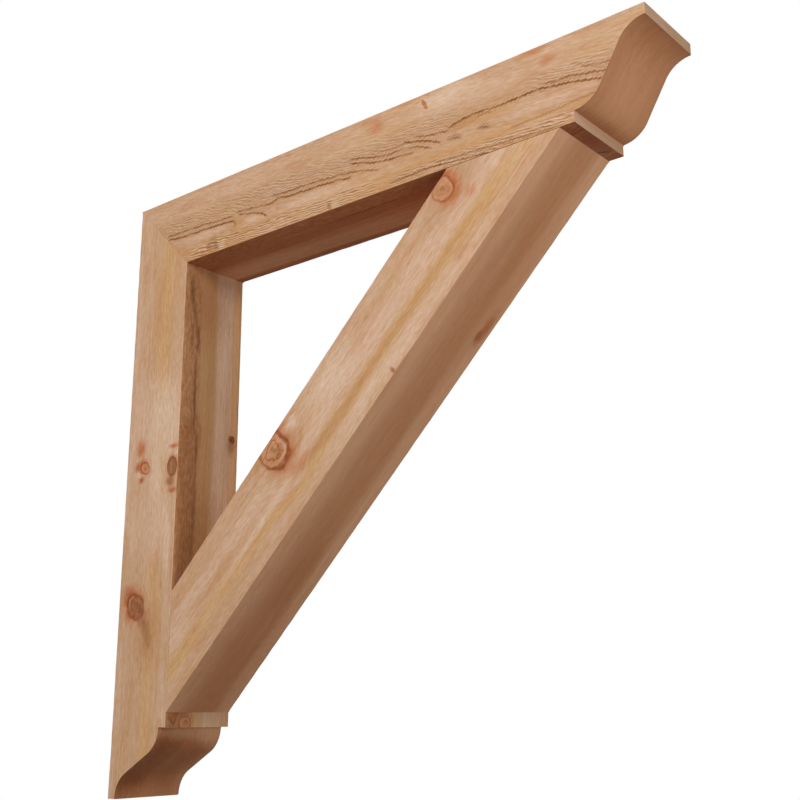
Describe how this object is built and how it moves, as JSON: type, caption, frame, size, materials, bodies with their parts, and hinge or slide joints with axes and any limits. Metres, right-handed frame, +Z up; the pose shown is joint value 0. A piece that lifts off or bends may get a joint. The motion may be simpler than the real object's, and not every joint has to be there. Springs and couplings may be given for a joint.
{
  "type": "timber corbel bracket",
  "caption": "Triangular rough-sawn timber bracket: an upright leg, a level arm mitred to it and a raking brace, both free ends cut to an ogee.",
  "frame": {"origin": "centre of the leg's back face, which lies against the wall", "axes": "+X out from the wall along the arm, +Y across the bracket's width, +Z up the wall"},
  "size_m": [1.0668, 0.1396, 1.0668],
  "materials": {
    "leg_timber": "unfinished sawn softwood, matt, fine streaks and small knots",
    "arm_timber": "unfinished sawn softwood, matt, torn wavy grain along its length",
    "brace_timber": "unfinished sawn softwood, matt, broad streaks and two round knots"
  },
  "bodies": {
    "root": {"leg": "leg_timber", "arm": "arm_timber", "brace": "brace_timber"}
  },
  "joints": []
}
